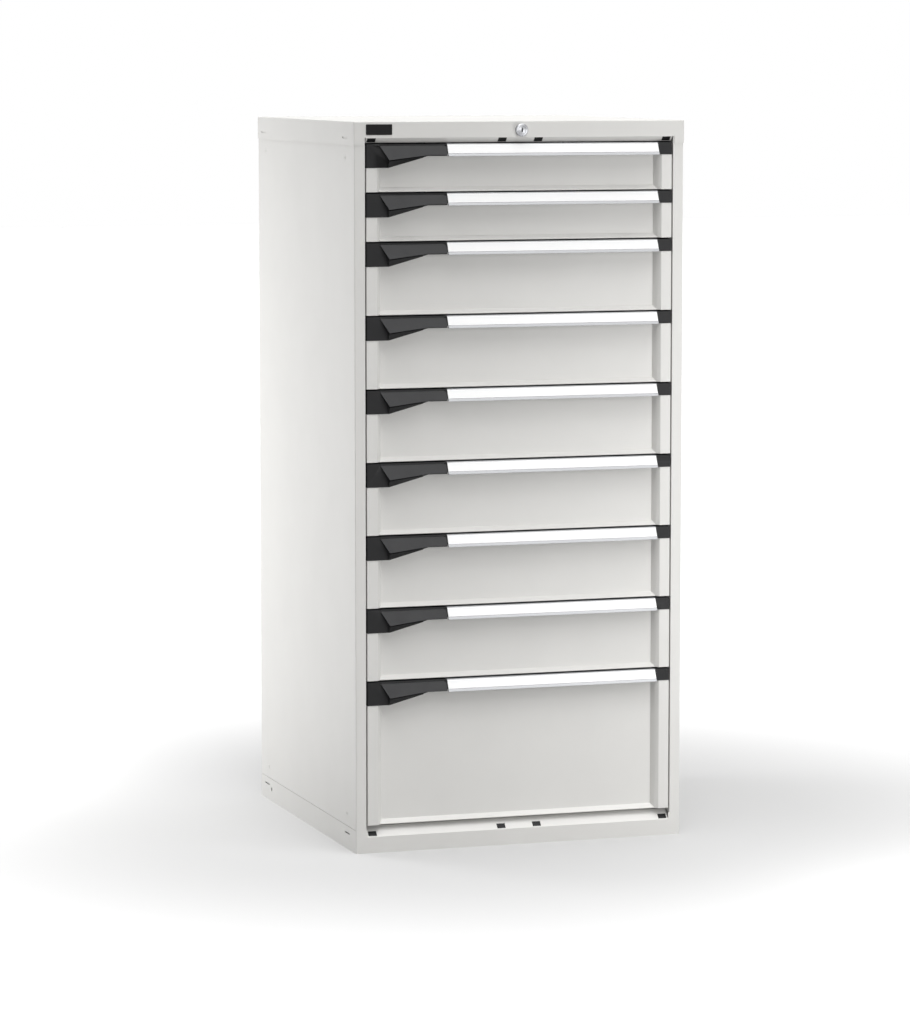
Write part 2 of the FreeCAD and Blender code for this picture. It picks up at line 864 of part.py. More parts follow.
def grip_housing(bottom, height):
    """The left end moulding: a flat block, a bevelled part with a pocket for the pad and a ledge on top."""
    top = bottom + height - front_gap
    left = -drawer_half
    right = bar_left - grip_end_gap
    knee = left + grip_knee_run
    slope_end = knee + grip_slope_run
    foot = left + pad_foot_inset
    crease = left + pad_inset
    flat = prism_y([(x, top + z) for x, z in
                    ((left, 0), (crease, 0), (foot, -pad_foot_drop), (knee, -grip_height),
                     (left, -grip_height))],
                   -grip_stand, grip_back)
    plug = box(left, -facet_inner - paint_gap, -grip_stand, grip_plug_back,
               top - grip_height + paint_gap, top)
    nose = tilted([(crease, 0), (right, 0), (right, -grip_level_drop), (slope_end, -grip_level_drop),
                   (knee, -grip_height), (foot, -pad_foot_drop)], top, 0, handle_reach, grip_back)
    rim = [(-face_slope * rim_height, top - rim_height), (rim_bevel, top), (rim_bevel, top + overrun),
           (-handle_reach, top + overrun), (-handle_reach, top - rim_height)]
    nose = nose.cut(prism_x(rim, crease, right + overrun)).cut(bevel_cutter(top, foot, slope_end, knee))
    ledge = box(left, right, rim_bevel, bar_flange, top - bar_wall, top)
    body = joined(flat, plug, nose, ledge)
    for room in pad_room(top):
        body = body.cut(room)
    return body


def bevel_cutter(top, foot, slope_end, knee):
    """The block below the bevel that runs from the pad's lower edge back to the housing's bottom edge."""
    gap = pad_gap
    a = Vector(foot, bevel_sink - face_slope * (pad_foot_drop + gap), top - pad_foot_drop - gap)
    b = Vector(slope_end, bevel_sink - face_slope * (pad_level_drop + gap), top - pad_level_drop - gap)
    c = Vector(knee, -bevel_stand, top - grip_height)
    along = b.sub(a)
    normal = along.cross(c.sub(a))
    normal.normalize()
    if normal.z > 0:
        normal = normal * -1
    along.normalize()
    across = normal.cross(along)
    span = grip_height + grip_slope_run
    middle = (a + b) * 0.5
    corners = [middle + along * (span * i) + across * (span * j) for i,
               j in ((-1, -1), (1, -1), (1, 1), (-1, 1))]
    return prism(corners, normal * span)


def right_cap(bottom, height):
    """The right end moulding: a flat cap at the post, a plug in the strip's place and a ledge on top."""
    top = bottom + height - front_gap
    low = top - bar_height
    face = box(bar_right + grip_end_gap, drawer_half, -cap_stand, grip_back, low + paint_gap, top)
    plug = box(facet_inner + paint_gap, drawer_half, -cap_stand, grip_plug_back, low + paint_gap, top)
    ledge = box(bar_right + grip_end_gap, drawer_half, 0, bar_flange, top - bar_wall, top)
    return joined(face, plug, ledge)


def end_caps(bottom, height):
    """Both black end mouldings of one drawer."""
    return Part.makeCompound([grip_housing(bottom, height), right_cap(bottom, height)])


def release_pad(bottom, height):
    """The pad that the thumb presses: a plate in the plane of the bar's face, with pins and a latch arm."""
    top = bottom + height - front_gap
    right = bar_left - pad_end_gap
    plate = pad_plate(top, 0)
    corner = [e for e in plate.Edges if is_top_right(e, right, top - pad_top_drop)]
    plate = plate.makeFillet(pad_corner, corner)
    barrel = rod(pivot_radius, pivot_point(top, latch_left()), pivot_point(top, right - barrel_inset))
    pins = rod(pin_radius, pivot_point(top, latch_left() - pin_reach + pad_gap),
               pivot_point(top, right + pad_end_gap - grip_end_gap))
    far = latch_left() + latch_width
    reach = post_return
    arm_top = top - pivot_drop - latch_arm_drop + latch_hook + latch_arm_height
    web = box(latch_left(), far, pivot_depth, pivot_depth + latch_finger, arm_top - latch_arm_height,
              top - pivot_drop)
    arm = box(latch_left(), far, pivot_depth, reach, arm_top - latch_arm_height, arm_top)
    finger = box(latch_left(), far, reach - latch_finger + latch_side_gap, reach,
                 arm_top - latch_arm_height - latch_hook,
                 arm_top)
    return joined(plate, barrel, pins, web, arm, finger)


def is_top_right(edge, x, z):
    """Whether an edge runs along y at one x and z."""
    near = paint_gap / 2
    return all(abs(v.X - x) < near and abs(v.Z - z) < near for v in edge.Vertexes)


# Lock
def lock_housing():
    """The lock's barrel with its round collar, and the nut behind the lid."""
    face = -lid_proud
    front = face - lock_collar_length
    collar = rod(lock_collar_radius, Vector(0, front, lock_rise), Vector(0, face, lock_rise))
    collar = collar.makeChamfer(lock_collar_edge,
                                [e for e in collar.Edges if e.BoundBox.YMax < front + paint_gap])
    barrel = rod(lock_barrel_radius, Vector(0, front + lock_collar_edge, lock_rise),
                 Vector(0, lock_barrel_end, lock_rise))
    bore = rod(plug_radius, Vector(0, front - overrun, lock_rise),
               Vector(0, lock_barrel_end + overrun, lock_rise))
    nut_front = face + sheet
    corner = lock_nut_width / math.sqrt(3)
    hexagon = [(corner * math.cos(math.pi * i / 3),
                lock_rise + corner * math.sin(math.pi * i / 3)) for i in range(6)]
    nut = prism_y(hexagon, nut_front, nut_front + lock_nut_thickness)
    thread = rod(lock_barrel_radius + plug_gap, Vector(0, face, lock_rise),
                 Vector(0, lock_barrel_end, lock_rise))
    return Part.makeCompound([joined(collar, barrel).cut(bore), nut.cut(thread)])


def lock_plug():
    """The turning plug with its keyway."""
    front = plug_recess - lid_proud - lock_collar_length
    plug = rod(plug_radius - plug_gap, Vector(0, front, lock_rise), Vector(0, plug_end, lock_rise))
    keyway = box(-keyway_width / 2, keyway_width / 2, front - overrun, front + keyway_depth,
                 lock_rise - keyway_height / 2, lock_rise + keyway_height / 2)
    return plug.cut(keyway)


def crank_pin(shift):
    """The crank pin's axis point at rest, low on the left of the shaft, at one y."""
    return Vector(-lock_pin_out, shift, lock_rise - lock_lift / 2)


def lock_shaft():
    """The long shaft from the plug to the rear, with a crank and its pin."""
    shaft = rod(shaft_radius, Vector(0, plug_end, lock_rise),
                Vector(0, crank_place + crank_thickness, lock_rise))
    hub = rod(crank_boss, Vector(0, crank_place, lock_rise),
              Vector(0, crank_place + crank_thickness, lock_rise))
    eye = rod(crank_eye, crank_pin(crank_place), crank_pin(crank_place + crank_thickness))
    pin = rod(crank_pin_radius, crank_pin(crank_place),
              crank_pin(crank_place + crank_thickness + crank_pin_length))
    return joined(shaft, hub, eye, pin)


def bar_strip_top():
    """The top of the lock bar at rest, just above the crank pin."""
    return lock_rise - lock_lift / 2 + bar_strip_head


def lock_bar():
    """The upright lock bar with a slot for the crank pin and one tooth welded on for each drawer."""
    half = bar_strip_width / 2
    back = bar_strip_place + bar_strip_thickness
    strip = box(bar_strip_middle - half, bar_strip_middle + half, bar_strip_place, back, bar_strip_foot,
                bar_strip_top())
    pin = crank_pin(bar_strip_place)
    room = crank_pin_radius + crank_pin_gap
    slot = box(pin.x - pin_swing - room, pin.x + room, bar_strip_place - overrun, back + overrun,
               pin.z - room, pin.z + room)
    teeth = []
    for bottom in drawer_bottoms():
        high = bottom + tab_rise - tab_lip - tooth_drop
        teeth.append(box(bar_strip_edge, bar_strip_edge + tooth_reach, bar_strip_place, back,
                         high - tooth_height, high))
    return Part.makeCompound([strip.cut(slot)] + teeth)


def lock_guides():
    """Three guides on the back panel for the lock bar, and the hanger that carries the shaft's rear end."""
    wall = guide_wall
    half = bar_strip_width / 2 + guide_gap
    back = bar_strip_place + bar_strip_thickness + guide_gap
    panel = casing_depth - 2 * sheet - paint_gap
    pieces = []
    bottoms = drawer_bottoms()
    for place in (0, drawer_count // 2, drawer_count - 2):
        z = bottoms[place] + guide_rise
        block = box(bar_strip_middle - half - wall, bar_strip_middle + half + wall,
                    bar_strip_place - guide_gap - wall, panel,
                    z, z + guide_height)
        way = box(bar_strip_middle - half, bar_strip_middle + half, bar_strip_place - guide_gap, back,
                  z - overrun, z + guide_height + overrun)
        hollow = box(bar_strip_middle - half, bar_strip_middle + half, back + wall, panel + overrun,
                     z - overrun, z + guide_height + overrun)
        pieces.append(block.cut(way).cut(hollow))
    return Part.makeCompound(pieces + [shaft_hanger()])


def shaft_hanger():
    """A bracket under the lid with a hole for the shaft."""
    far = hanger_place + hanger_thickness
    top = lid_underside
    plate = box(-hanger_half_width, hanger_half_width, hanger_place, far, lock_rise - hanger_drop, top)
    foot = box(-hanger_half_width, hanger_half_width, hanger_place - hanger_foot, far,
               top - hanger_thickness, top)
    hole = rod(shaft_radius + shaft_gap, Vector(0, hanger_place - overrun, lock_rise),
               Vector(0, far + overrun, lock_rise))
    return joined(plate, foot).cut(hole)


def badge_plate():
    """The bare badge plate on the lid's face."""
    left = -half_width + badge_inset
    low = casing_height - badge_drop - badge_height / 2
    plate = box(left, left + badge_width, -lid_proud - badge_thickness, -lid_proud, low,
                low + badge_height)
    return plate.makeFillet(badge_corner,
                            [e for e in plate.Edges if e.BoundBox.YLength > badge_thickness / 2])


# Writing the files
def save(name, shape):
    """Writes one node in the part's own frame."""
    moved = shape.copy()
    moved.translate(Vector(0, front_shift, 0))
    solids = moved.Solids
    if not solids or not all(s.isValid() for s in solids):
        print("not valid:", name)
    moved.exportStep("parts/" + name + ".step")
    print(name, len(solids), "solids", round(sum(s.Volume for s in solids) / 1000, 1), "cm3")


def main():
    os.makedirs("parts", exist_ok=True)
    save("side_panel_left", left_side_panel())
    save("side_panel_right", mirrored(side_panel()))
    save("back_panel", back_panel())
    save("top_cover", top_cover())
    save("base_frame", base_frame())
    save("uprights", uprights())
    save("side_screws", side_screws())
    save("socket_plugs", socket_plugs())
    save("badge_plate", badge_plate())
    save("cabinet_rails", cabinet_rails())
    save("lock_housing", lock_housing())
    save("lock_plug", lock_plug())
    save("lock_shaft", lock_shaft())
    save("lock_bar", lock_bar())
    save("lock_guides", lock_guides())
    for i, (bottom, height) in enumerate(zip(drawer_bottoms(), drawer_heights)):
        name = "drawer_" + str(drawer_count - i)
        save(name + "_box", drawer_box(bottom, height))
        save(name + "_handle_bar", handle_bar(bottom, height))
        save(name + "_end_caps", end_caps(bottom, height))
        save(name + "_release_pad", release_pad(bottom, height))
        save(name + "_carriages", drawer_carriages(bottom))


main()
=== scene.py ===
"""Looks for a nine-drawer laboratory cabinet: painted steel, aluminium label bars, black grips."""
import math
import bmesh
import bpy
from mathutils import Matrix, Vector


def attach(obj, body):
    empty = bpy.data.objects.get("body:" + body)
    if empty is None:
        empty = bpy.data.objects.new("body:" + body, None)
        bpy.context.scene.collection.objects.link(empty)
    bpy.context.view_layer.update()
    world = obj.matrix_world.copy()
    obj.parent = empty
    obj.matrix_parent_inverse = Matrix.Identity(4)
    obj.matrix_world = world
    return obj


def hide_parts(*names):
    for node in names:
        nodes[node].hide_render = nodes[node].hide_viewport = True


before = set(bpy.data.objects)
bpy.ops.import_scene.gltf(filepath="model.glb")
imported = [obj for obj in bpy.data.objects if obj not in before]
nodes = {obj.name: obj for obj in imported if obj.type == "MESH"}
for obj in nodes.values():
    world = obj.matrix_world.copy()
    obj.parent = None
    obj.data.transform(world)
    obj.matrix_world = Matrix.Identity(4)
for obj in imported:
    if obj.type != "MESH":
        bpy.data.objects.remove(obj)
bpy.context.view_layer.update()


# ---------------------------------------------------------------- camera
# A long lens at eye height, left of the cabinet, as the studio picture was taken.
# It is aimed a little downwards, and the lens has no shift.
frame_long_side = 1024                              # pixels
focal_pixels = 4121.7
camera_place = (-2.7644, -8.3522, 1.6352)
camera_yaw = 0.3169                                 # radians to the right of straight ahead
camera_pitch = 0.1106                               # radians below level


def put_in_scene(name, data):
    """An object of its own for a camera, a lamp or a mesh, linked to the scene."""
    thing = bpy.data.objects.new(name, data)
    bpy.context.scene.collection.objects.link(thing)
    return thing


def aim_along(thing, direction):
    """Turns a camera or a lamp to look along a direction."""
    thing.rotation_mode = "QUATERNION"
    thing.rotation_quaternion = Vector(direction).to_track_quat("-Z", "Y")


camera_data = bpy.data.cameras.new("studio_camera")
camera_data.sensor_width = 36.0
camera_data.lens = camera_data.sensor_width * focal_pixels / frame_long_side
camera_data.clip_start = 0.1
camera_data.clip_end = 200.0
camera = put_in_scene("studio_camera", camera_data)
camera.location = camera_place
aim_along(camera, (math.sin(camera_yaw) * math.cos(camera_pitch),
                   math.cos(camera_yaw) * math.cos(camera_pitch),
                   -math.sin(camera_pitch)))
bpy.context.scene.camera = camera
bpy.context.scene.view_settings.view_transform = "Standard"


# ---------------------------------------------------------------- white surround
# The studio's white walls. The camera and anything glossy or clear sees them as pure white, but
# they add only a faint even light, so that pale paint keeps its shades.
surround_light = 0.1


def linear(hex_colour):
    """An sRGB hex colour as the linear colour with alpha that a shader takes."""
    channels = [int(hex_colour[i:i + 2], 16) / 255 for i in (1, 3, 5)]
    return [c / 12.92 if c <= 0.04045 else ((c + 0.055) / 1.055) ** 2.4 for c in channels] + [1.0]


def add_node(tree, kind, settings=None, links=None):
    """Adds a node. settings are attributes, or input values by name or number. links go to its
    inputs from other nodes' sockets, or from a node's first output where the node is given."""
    node = tree.nodes.new(kind)
    for name, value in (settings or {}).items():
        if isinstance(name, str) and name not in node.inputs:
            setattr(node, name, value)
        else:
            node.inputs[name].default_value = value
    for name, source in (links or {}).items():
        if isinstance(source, bpy.types.Node):
            source = source.outputs[0]
        tree.links.new(source, node.inputs[name])
    return node


world = bpy.data.worlds.new("studio_surround")
bpy.context.scene.world = world
world.use_nodes = True
sky = world.node_tree
sky.nodes.clear()
ray = add_node(sky, "ShaderNodeLightPath")
direct = add_node(sky, "ShaderNodeMath", {"operation": "MAXIMUM"},
                  {0: ray.outputs["Is Camera Ray"], 1: ray.outputs["Is Transmission Ray"]})
seen = add_node(sky, "ShaderNodeMath", {"operation": "MAXIMUM"},
                {0: direct, 1: ray.outputs["Is Glossy Ray"]})
lit = add_node(sky, "ShaderNodeBackground",
               {"Color": linear("#FFFFFF"), "Strength": surround_light})
shown = add_node(sky, "ShaderNodeBackground", {"Color": linear("#FFFFFF"), "Strength": 1.0})
either = add_node(sky, "ShaderNodeMixShader", None, {"Fac": seen, 1: lit, 2: shown})
add_node(sky, "ShaderNodeOutputWorld", None, {"Surface": either})


# ---------------------------------------------------------------- paper floor
# White studio paper that runs out of sight. Its colour is painted a light grey round the cabinet,
# a painted shadow that deepens the cast one, and turns to the white of the walls further out.
floor_half = 30.0                                   # metres
painted_shadow_within, white_beyond = 0.65, 1.9               # metres from below the cabinet's middle
wave_mm = 150


def repeats(size_mm):
    """The scale at which a texture repeats about once in a real size given in millimetres."""
    return 1000 / size_mm


def new_material(name):
    """An empty node material and its tree."""
    material = bpy.data.materials.new(name)
    material.use_nodes = True
    material.node_tree.nodes.clear()
    return material, material.node_tree


corners = [(x * floor_half, y * floor_half, 0) for x, y in ((-1, -1), (1, -1), (1, 1), (-1, 1))]
floor_mesh = bpy.data.meshes.new("studio_floor")
floor_mesh.from_pydata(corners, [], [(0, 1, 2, 3)])
floor = put_in_scene("studio_floor", floor_mesh)

# Uncoated paper off a roll: fully matt, and lying in waves so shallow that they hardly show. The
# wave texture's own coordinates run once over the whole floor. A darker tone for light that
# bounces keeps the paper from lighting the cabinet from below more than a studio floor does.
paper, tree = new_material("matt_white_paper_floor")
waves = add_node(tree, "ShaderNodeTexNoise",
                 {"Scale": 2 * floor_half * repeats(wave_mm), "Detail": 3.0})
bump = add_node(tree, "ShaderNodeBump", {"Strength": 0.1, "Distance": 0.0001},
                {"Height": waves.outputs["Fac"]})
ray = add_node(tree, "ShaderNodeLightPath")
unbounced = add_node(tree, "ShaderNodeMath", {"operation": "SUBTRACT", 0: 1.0},
                     {1: ray.outputs["Is Diffuse Ray"]})
place = add_node(tree, "ShaderNodeTexCoord")
away = add_node(tree, "ShaderNodeVectorMath", {"operation": "LENGTH"},
                {0: place.outputs["Object"]})
far = add_node(tree, "ShaderNodeMapRange",
               {"interpolation_type": "SMOOTHSTEP",
                "From Min": painted_shadow_within, "From Max": white_beyond},
               {"Value": away.outputs["Value"]})
# Painted shadow: the paper's colour is grey near the cabinet and rises to near white further out.
painted_shadow_sweep = add_node(tree, "ShaderNodeMix",
                 {"data_type": "RGBA", "A": linear("#CCCCCC"), "B": linear("#F7F7F7")},
                 {"Factor": far})
shade = add_node(tree, "ShaderNodeMix", {"data_type": "RGBA", "A": linear("#AAAAAA")},
                 {"Factor": unbounced, "B": painted_shadow_sweep.outputs["Result"]})
matt = add_node(tree, "ShaderNodeBsdfDiffuse", None,
                {"Color": shade.outputs["Result"], "Normal": bump.outputs["Normal"]})
add_node(tree, "ShaderNodeOutputMaterial", None, {"Surface": matt})
floor_mesh.materials.append(paper)


# ---------------------------------------------------------------- studio lamps
# Diffusers hang over the cabinet and in front of it, and give broad even light. Two tall softboxes
# shape its sides: one at the right front, one behind on the left.
def soft_sun(name, direction, spread_degrees, strength):
    """Even light from one side of the room, as from a wall of diffusers."""
    data = bpy.data.lights.new(name, "SUN")
    data.angle = math.radians(spread_degrees)
    data.energy = strength
    aim_along(put_in_scene(name, data), direction)


def soft_lamp(name, place, target, width, height, watts):
    """A rectangular studio lamp at a place, turned to a target."""
    data = bpy.data.lights.new(name, "AREA")
    data.shape = "RECTANGLE"
    data.size = width
    data.size_y = height
    data.energy = watts
    lamp = put_in_scene(name, data)
    lamp.location = place
    aim_along(lamp, Vector(target) - Vector(place))


soft_sun("overhead_diffuser", direction=(0.0, 0.02, -1.0), spread_degrees=70.0, strength=2.75)
soft_sun("front_overhead_diffuser", direction=(0.0, 0.57, -0.82), spread_degrees=40.0,
         strength=0.85)
soft_sun("front_fill", direction=(0.0, 0.99, -0.14), spread_degrees=25.0, strength=0.24)
soft_lamp("front_right_softbox", place=(0.8, -1.3, 0.55), target=(0.3, -0.36, 0.55),
          width=0.5, height=1.9, watts=8.2)
soft_lamp("rear_left_softbox", place=(-1.3, 0.9, 0.6), target=(-0.36, 0.3, 0.55),
          width=0.6, height=1.9, watts=15.0)


# ---------------------------------------------------------------- side panels
# Each is one steel sheet, folded into the side wall, the front post with its return and the rear
# flange. Small latch lugs are welded inside the left post. Powder coated, as the whole casing is.
casing_colour = "#DEDDDA"
join_distance = 2e-6                                # metres
coplanar_degrees = 0.4                              # faces that bend less than this are one face
sharp_degrees = 32                                  # edges that bend more than this are rounded


def joined_up(mesh):
    """An open bmesh of a CAD node's mesh, in which its loose triangles share their corners."""
    work = bmesh.new()
    work.from_mesh(mesh)
    bmesh.ops.remove_doubles(work, verts=work.verts, dist=join_distance)
    return work


def plain_mesh(draft):
    """What a draft object's modifiers make of it, as a mesh of its own. The draft is removed."""
    bpy.context.view_layer.update()
    graph = bpy.context.evaluated_depsgraph_get()
    made = bpy.data.meshes.new_from_object(draft.evaluated_get(graph),
                                           preserve_all_data_layers=True, depsgraph=graph)
    bpy.data.objects.remove(draft)
    return made


def edges_rounded(node, round_mm, steps=2):
    """A copy of a CAD node's mesh, its triangles merged into faces and its sharp edges slightly
    rounded."""
    mesh = nodes[node].data.copy()
    mesh.materials.clear()
    work = joined_up(mesh)
    bmesh.ops.dissolve_limit(work, angle_limit=math.radians(coplanar_degrees),
                             verts=work.verts, edges=work.edges)
    work.to_mesh(mesh)
    work.free()
    draft = put_in_scene(node + ".draft", mesh)
    bevel = draft.modifiers.new("rounded_edges", "BEVEL")
    bevel.width = round_mm / 1000
    bevel.segments = steps
    bevel.limit_method = "ANGLE"
    bevel.angle_limit = math.radians(sharp_degrees)
    bevel.use_clamp_overlap = True
    flatter = draft.modifiers.new("flat_faces_stay_flat", "WEIGHTED_NORMAL")
    flatter.weight = 100
    mesh.shade_smooth()
    return plain_mesh(draft)


def place_piece(name, mesh, material, body, stands_for=()):
    """Puts a finished mesh in the scene as a piece that rides on a body."""
    mesh.name = name
    mesh.materials.clear()
    mesh.materials.append(material)
    piece = put_in_scene(name, mesh)
    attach(piece, body)
    if stands_for:
        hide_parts(*stands_for)


def mottled(tree, hex_colour, pattern, darkest, lightest):
    """The colour, dimmed or lightened between two factors by a noise pattern, whose values lie
    mostly between 0.3 and 0.7."""
    tone = add_node(tree, "ShaderNodeMapRange",
                    {"From Min": 0.3, "From Max": 0.7, "To Min": darkest, "To Max": lightest},
                    {"Value": pattern.outputs["Fac"]})
    return add_node(tree, "ShaderNodeVectorMath",
                    {"operation": "SCALE", 0: linear(hex_colour)[:3]}, {"Scale": tone})


def powder_coat(name, hex_colour):
    """Polyester powder coat, sprayed and baked: satin, with an orange peel 1.4 mm from crest to
    crest and a faint cloudiness a hand wide."""
    peel_mm, cloud_mm = 1.4, 110
    material, tree = new_material(name)
    place = add_node(tree, "ShaderNodeTexCoord")
    peel = add_node(tree, "ShaderNodeTexNoise",
                    {"Scale": repeats(peel_mm), "Detail": 2.0, "Roughness": 0.45},
                    {"Vector": place.outputs["Object"]})
    cloud = add_node(tree, "ShaderNodeTexNoise", {"Scale": repeats(cloud_mm), "Detail": 3.0},
                     {"Vector": place.outputs["Object"]})
    colour = mottled(tree, hex_colour, cloud, darkest=0.985, lightest=1.01)
    rough = add_node(tree, "ShaderNodeMapRange", {"To Min": 0.42, "To Max": 0.54},
                     {"Value": peel.outputs["Fac"]})
    bump = add_node(tree, "ShaderNodeBump", {"Strength": 0.25, "Distance": 0.00003},
                    {"Height": peel.outputs["Fac"]})
    shader = add_node(tree, "ShaderNodeBsdfPrincipled", {"IOR": 1.5},
                      {"Base Color": colour, "Roughness": rough, "Normal": bump})
    add_node(tree, "ShaderNodeOutputMaterial", None, {"Surface": shader})
    return material


casing_paint = powder_coat("light_grey_powder_coat", casing_colour)
for node in ("side_panel_left", "side_panel_right"):
    place_piece(node + "_painted", edges_rounded(node, round_mm=0.5), casing_paint,
                "casing", [node])


# ---------------------------------------------------------------- back panel
# One steel sheet with two upright swages pressed into it, which keep it from drumming. It closes
# the casing between the side panels' rear flanges and is powder coated with them.
place_piece("back_panel_painted", edges_rounded("back_panel", round_mm=0.4), casing_paint,
            "casing", ["back_panel"])


# ---------------------------------------------------------------- lid
# A folded sheet steel cap over the whole casing, powder coated. Its front face carries the lock
# and the badge plate, and a sloping lip below that face has sockets for plugs.
place_piece("top_cover_painted", edges_rounded("top_cover", round_mm=0.5), casing_paint,
            "casing", ["top_cover"])


# ---------------------------------------------------------------- base
# A welded band of folded steel with inward feet and a sill that has a sloping lip. A floor pan with
# turned-down edges is welded into it, and all of it is powder coated.
place_piece("base_frame_painted", edges_rounded("base_frame", round_mm=0.5), casing_paint,
            "casing", ["base_frame"])


# ---------------------------------------------------------------- side screws
# Flush steel screws with hexagon sockets that hold each side panel to its uprights. They were
# turned to no common angle and painted with the panel.

# Sizes in metres.
screw_sizes = {"Head Radius": 0.007, "Head Depth": 0.0012,
               "Socket Radius": 0.003, "Socket Depth": 0.001, "Finish": casing_paint}
head_corners, socket_corners = 40, 6
turn_seed = 7


def bodies_in(work):
    """The sets of joined vertices in an open bmesh, one for each separate body, in the order of
    their first vertices."""
    found = set()
    bodies = []
    for start in work.verts:
        if start in found:
            continue
        body = {start}
        edge_of_search = [start]
        while edge_of_search:
            for edge in edge_of_search.pop().link_edges:
                fresh = set(edge.verts) - body
                body |= fresh
                edge_of_search += fresh
        found |= body
        bodies.append(body)
    return bodies


def corners_of(places):
    """The lowest and the highest corner of the box round a set of places."""
    return (Vector([min(place[i] for place in places) for i in range(3)]),
            Vector([max(place[i] for place in places) for i in range(3)]))


def body_boxes(node):
    """The box round each separate body of a CAD node, as its lowest and highest corner."""
    work = joined_up(nodes[node].data)
    boxes = [corners_of([vertex.co for vertex in body]) for body in bodies_in(work)]
    work.free()
    return boxes


def new_group(name, sockets):
    """An empty geometry node group with a geometry in and out and the named inputs, the sockets
    that give its inputs' values, and its output node."""
    tree = bpy.data.node_groups.new(name, "GeometryNodeTree")
    tree.interface.new_socket("Geometry", in_out="OUTPUT", socket_type="NodeSocketGeometry")
    tree.interface.new_socket("Geometry", in_out="INPUT", socket_type="NodeSocketGeometry")
    for label, kind in sockets.items():
        tree.interface.new_socket(label, in_out="INPUT", socket_type=kind)
    return tree, add_node(tree, "NodeGroupInput").outputs, add_node(tree, "NodeGroupOutput")


def set_at_places(tree, given, result, item, spin=None):
    """Nodes that end a group: a copy of the item at every place, its z axis along the direction
    that the place faces, all made real and given the finish."""
    outward = add_node(tree, "GeometryNodeInputNamedAttribute",
                       {"data_type": "FLOAT_VECTOR", "Name": "facing"})
    aimed = add_node(tree, "FunctionNodeAlignEulerToVector", {"axis": "Z"},
                     {"Rotation": spin, "Vector": outward} if spin else {"Vector": outward})
    placed = add_node(tree, "GeometryNodeInstanceOnPoints", None,
                      {"Points": given["Geometry"], "Instance": item, "Rotation": aimed})
    real = add_node(tree, "GeometryNodeRealizeInstances", None, {"Geometry": placed})
    finished = add_node(tree, "GeometryNodeSetMaterial", None,
                        {"Geometry": real, "Material": given["Finish"]})
    tree.links.new(finished.outputs[0], result.inputs["Geometry"])


def grown(name, tree, places, facing, values):
    """The mesh that a node group makes on a set of places, each with the direction it faces."""
    points = bpy.data.meshes.new(name + "_places")
    points.from_pydata([tuple(place) for place in places], [], [])
    outward = points.attributes.new("facing", "FLOAT_VECTOR", "POINT")
    for item, direction in zip(outward.data, facing):
        item.vector = direction
    draft = put_in_scene(name + ".draft", points)
    modifier = draft.modifiers.new(name, "NODES")
    modifier.node_group = tree
    for item in tree.interface.items_tree:
        if item.in_out == "INPUT" and item.name in values:
            modifier[item.identifier] = values[item.name]
    return plain_mesh(draft)


def screw_group():
    """Node group: a flush screw head with a hexagon socket at every place, its outer face there."""
    tree, given, result = new_group("socket_screws", {
        "Head Radius": "NodeSocketFloat", "Head Depth": "NodeSocketFloat",
        "Socket Radius": "NodeSocketFloat", "Socket Depth": "NodeSocketFloat",
        "Finish": "NodeSocketMaterial"})
    head = add_node(tree, "GeometryNodeMeshCylinder", {"Vertices": head_corners},
                    {"Radius": given["Head Radius"], "Depth": given["Head Depth"]})
    sunk = add_node(tree, "ShaderNodeMath", {"operation": "MULTIPLY", 1: -0.5},
                    {0: given["Head Depth"]})
    lowered = add_node(tree, "ShaderNodeCombineXYZ", None, {"Z": sunk})
    head_set = add_node(tree, "GeometryNodeTransform", None,
                        {"Geometry": head.outputs["Mesh"], "Translation": lowered})
    tall = add_node(tree, "ShaderNodeMath", {"operation": "MULTIPLY", 1: 2.0},
                    {0: given["Socket Depth"]})
    key = add_node(tree, "GeometryNodeMeshCylinder", {"Vertices": socket_corners},
                   {"Radius": given["Socket Radius"], "Depth": tall})
    cut = add_node(tree, "GeometryNodeMeshBoolean", {"operation": "DIFFERENCE"},
                   {"Mesh 1": head_set, "Mesh 2": key.outputs["Mesh"]})
    turn = add_node(tree, "FunctionNodeRandomValue",
                    {"data_type": "FLOAT", 3: 2 * math.pi, "Seed": turn_seed})
    spin = add_node(tree, "ShaderNodeCombineXYZ", None, {"Z": turn.outputs[1]})
    set_at_places(tree, given, result, cut.outputs["Mesh"], spin)
    return tree


screw_places = [((low.x if low.x < 0 else high.x), (low.y + high.y) / 2, (low.z + high.z) / 2)
                for low, high in body_boxes("side_screws")]
screw_facing = [(math.copysign(1, x), 0, 0) for x, y, z in screw_places]
screw_mesh = grown("side_screws_painted", screw_group(), screw_places, screw_facing, screw_sizes)
place_piece("side_screws_painted", screw_mesh, casing_paint,
            "casing", ["side_screws"])


# ---------------------------------------------------------------- uprights and rails
# Four perforated uprights stand behind the side panels, and two rails for each drawer hook into
# them. All are rolled steel strip with a bright zinc plating, left unpainted inside the casing.
plated_round_mm = 0.25


